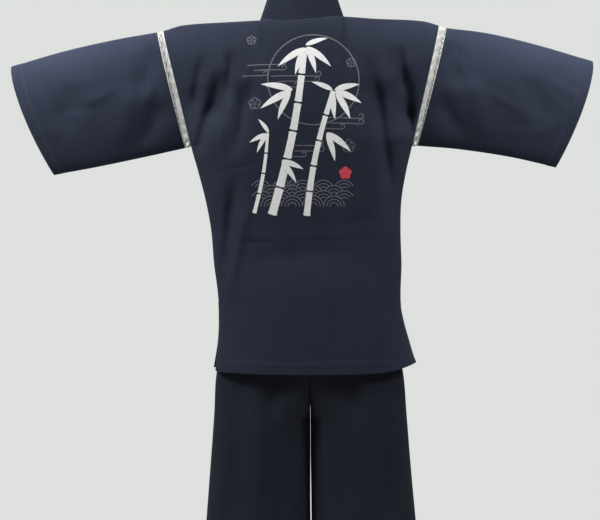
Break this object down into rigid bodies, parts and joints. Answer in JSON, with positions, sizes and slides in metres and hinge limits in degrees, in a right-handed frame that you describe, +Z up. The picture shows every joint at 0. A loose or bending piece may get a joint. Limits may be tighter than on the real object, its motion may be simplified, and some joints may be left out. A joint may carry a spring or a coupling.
{
  "type": "jinbei outfit",
  "caption": "Wrap jacket with wide sleeves set on with open lace, side slits and a side tie, over loose straight trousers, hollow as worn.",
  "frame": {"origin": "base of the neck on the body's middle line, level with the tops of the shoulders, where the wearer's neck and shoulders hold the jacket", "axes": "+Z up, the front faces -Y, the back faces +Y, and +X is the wearer's left; the sleeves run along X"},
  "size_m": [1.2164, 0.2549, 1.1664],
  "materials": {
    "jacket_cloth": "matte navy cotton with a fine slubbed weave",
    "trouser_cloth": "matte navy cotton with a fine slubbed weave",
    "lace": "off-white cotton lace of twisted threads"
  },
  "bodies": {
    "root": {"jacket_back": "jacket_cloth", "jacket_front_left": "jacket_cloth", "jacket_front_right": "jacket_cloth", "collar_band": "jacket_cloth", "sleeve_left": "jacket_cloth", "sleeve_right": "jacket_cloth", "lace_left_back": "lace", "lace_left_front": "lace", "lace_right_back": "lace", "lace_right_front": "lace", "trousers_back_left": "trouser_cloth", "trousers_back_right": "trouser_cloth", "trousers_front_left": "trouser_cloth", "trousers_front_right": "trouser_cloth", "waistband": "trouser_cloth", "tie_from_front": "jacket_cloth", "tie_from_side": "jacket_cloth", "tie_loop_left": "jacket_cloth", "tie_loop_right": "jacket_cloth", "tie_end_left": "jacket_cloth", "tie_end_right": "jacket_cloth", "tie_knot": "jacket_cloth"}
  },
  "joints": []
}
